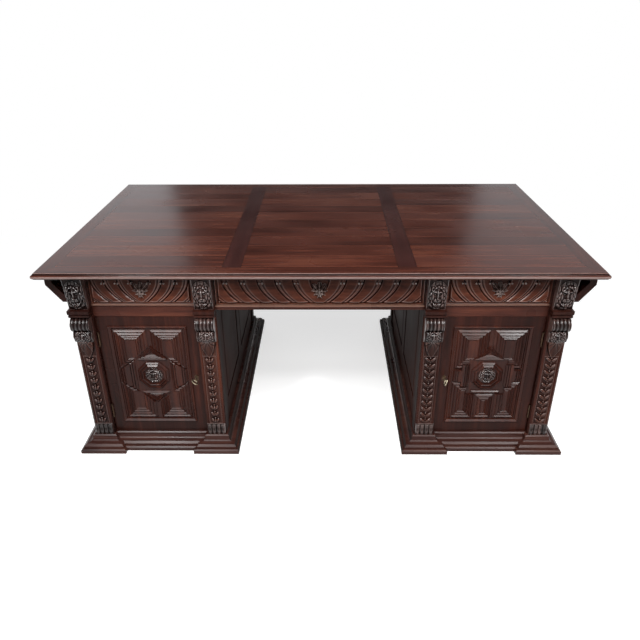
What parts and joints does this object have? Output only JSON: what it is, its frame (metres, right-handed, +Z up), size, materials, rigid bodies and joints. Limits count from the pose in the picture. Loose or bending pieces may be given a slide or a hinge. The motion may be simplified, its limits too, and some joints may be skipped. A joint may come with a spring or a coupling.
{
  "type": "partners desk",
  "caption": "Carved partners desk with two pedestals of cupboards and drawers, a centre drawer over the kneehole, lion-head corbels and a framed top.",
  "frame": {"origin": "on the floor under the middle of the top", "axes": "+X to the right along the desk, +Y to the back, +Z up; the pictured side faces -Y"},
  "size_m": [1.932, 1.133, 0.768],
  "materials": {
    "top_wood": "polished",
    "carcase_wood": "polished",
    "carved_wood": "polished",
    "inner_wood": "satin",
    "brass": "worn"
  },
  "bodies": {
    "desk": {"top_rail_front": "top_wood", "top_rail_back": "top_wood", "top_rail_left": "top_wood", "top_rail_right": "top_wood", "top_cross_rails": "top_wood", "top_panel_left": "top_wood", "top_panel_centre": "top_wood", "top_panel_right": "top_wood", "plinth_left": "carcase_wood", "plinth_right": "carcase_wood", "corner_posts_inner": "carcase_wood", "corner_posts_outer": "carcase_wood", "pilasters": "carcase_wood", "side_frames_outer": "carcase_wood", "side_frames_inner": "carcase_wood", "side_drawer_rails": "carcase_wood", "centre_drawer_rails": "carcase_wood", "end_friezes": "carcase_wood", "scroll_consoles": "carved_wood", "lion_corbels": "carved_wood", "lion_paws": "carved_wood", "cupboard_floors": "inner_wood", "partitions": "inner_wood", "dust_boards": "inner_wood", "drawer_guides": "inner_wood", "centre_drawer_runners": "inner_wood", "cupboard_shelves": "inner_wood", "shelf_cleats": "inner_wood", "post_hinges": "brass"},
    "front_left_drawer": {"front_left_drawer_face": "carcase_wood", "front_left_drawer_box": "inner_wood"},
    "front_centre_drawer": {"front_centre_drawer_face": "carcase_wood", "front_centre_drawer_box": "inner_wood"},
    "front_right_drawer": {"front_right_drawer_face": "carcase_wood", "front_right_drawer_box": "inner_wood"},
    "front_left_door": {"front_left_door_frame": "carcase_wood", "front_left_door_panel": "carcase_wood", "front_left_door_fittings": "brass"},
    "front_left_bolt": {"front_left_lock_bolt": "brass"},
    "front_left_key": {"front_left_key": "brass"},
    "front_right_door": {"front_right_door_frame": "carcase_wood", "front_right_door_panel": "carcase_wood", "front_right_door_fittings": "brass"},
    "front_right_bolt": {"front_right_lock_bolt": "brass"},
    "front_right_key": {"front_right_key": "brass"},
    "back_left_drawer": {"back_left_drawer_face": "carcase_wood", "back_left_drawer_box": "inner_wood"},
    "back_centre_drawer": {"back_centre_drawer_face": "carcase_wood", "back_centre_drawer_box": "inner_wood"},
    "back_right_drawer": {"back_right_drawer_face": "carcase_wood", "back_right_drawer_box": "inner_wood"},
    "back_left_door": {"back_left_door_frame": "carcase_wood", "back_left_door_panel": "carcase_wood", "back_left_door_fittings": "brass"},
    "back_left_bolt": {"back_left_lock_bolt": "brass"},
    "back_right_door": {"back_right_door_frame": "carcase_wood", "back_right_door_panel": "carcase_wood", "back_right_door_fittings": "brass"},
    "back_right_bolt": {"back_right_lock_bolt": "brass"}
  },
  "joints": [
    {"name": "front_left_drawer_slide", "type": "slide", "parent": "desk", "child": "front_left_drawer", "axis": [0, -1, 0], "range_m": [0, 0.34]},
    {"name": "front_centre_drawer_slide", "type": "slide", "parent": "desk", "child": "front_centre_drawer", "axis": [0, -1, 0], "range_m": [0, 0.34]},
    {"name": "front_right_drawer_slide", "type": "slide", "parent": "desk", "child": "front_right_drawer", "axis": [0, -1, 0], "range_m": [0, 0.34]},
    {"name": "front_left_door_hinge", "type": "hinge", "parent": "desk", "child": "front_left_door", "pos_m": [-0.8061, -0.4909, 0.32], "axis": [0, 0, -1], "range_deg": [0, 95]},
    {"name": "front_left_bolt_slide", "type": "slide", "parent": "front_left_door", "child": "front_left_bolt", "axis": [1, 0, 0], "range_m": [0, 0.008]},
    {"name": "front_left_key_turn", "type": "hinge", "parent": "front_left_door", "child": "front_left_key", "pos_m": [-0.4665, -0.5, 0.312], "axis": [0, -1, 0], "range_deg": [0, 90]},
    {"name": "front_right_door_hinge", "type": "hinge", "parent": "desk", "child": "front_right_door", "pos_m": [0.8061, -0.4909, 0.32], "axis": [0, 0, 1], "range_deg": [0, 95]},
    {"name": "front_right_bolt_slide", "type": "slide", "parent": "front_right_door", "child": "front_right_bolt", "axis": [-1, 0, 0], "range_m": [0, 0.008]},
    {"name": "front_right_key_turn", "type": "hinge", "parent": "front_right_door", "child": "front_right_key", "pos_m": [0.4665, -0.5, 0.312], "axis": [0, 1, 0], "range_deg": [0, 90]},
    {"name": "back_left_drawer_slide", "type": "slide", "parent": "desk", "child": "back_left_drawer", "axis": [0, 1, 0], "range_m": [0, 0.34]},
    {"name": "back_centre_drawer_slide", "type": "slide", "parent": "desk", "child": "back_centre_drawer", "axis": [0, 1, 0], "range_m": [0, 0.34]},
    {"name": "back_right_drawer_slide", "type": "slide", "parent": "desk", "child": "back_right_drawer", "axis": [0, 1, 0], "range_m": [0, 0.34]},
    {"name": "back_left_door_hinge", "type": "hinge", "parent": "desk", "child": "back_left_door", "pos_m": [-0.8061, 0.4909, 0.32], "axis": [0, 0, 1], "range_deg": [0, 95]},
    {"name": "back_left_bolt_slide", "type": "slide", "parent": "back_left_door", "child": "back_left_bolt", "axis": [1, 0, 0], "range_m": [0, 0.008]},
    {"name": "back_right_door_hinge", "type": "hinge", "parent": "desk", "child": "back_right_door", "pos_m": [0.8061, 0.4909, 0.32], "axis": [0, 0, -1], "range_deg": [0, 95]},
    {"name": "back_right_bolt_slide", "type": "slide", "parent": "back_right_door", "child": "back_right_bolt", "axis": [-1, 0, 0], "range_m": [0, 0.008]}
  ],
  "couplings": [
    {"joint": "front_left_key_turn", "follows": "front_left_bolt_slide", "rad_per_m": 196.35},
    {"joint": "front_right_key_turn", "follows": "front_right_bolt_slide", "rad_per_m": 196.35}
  ]
}
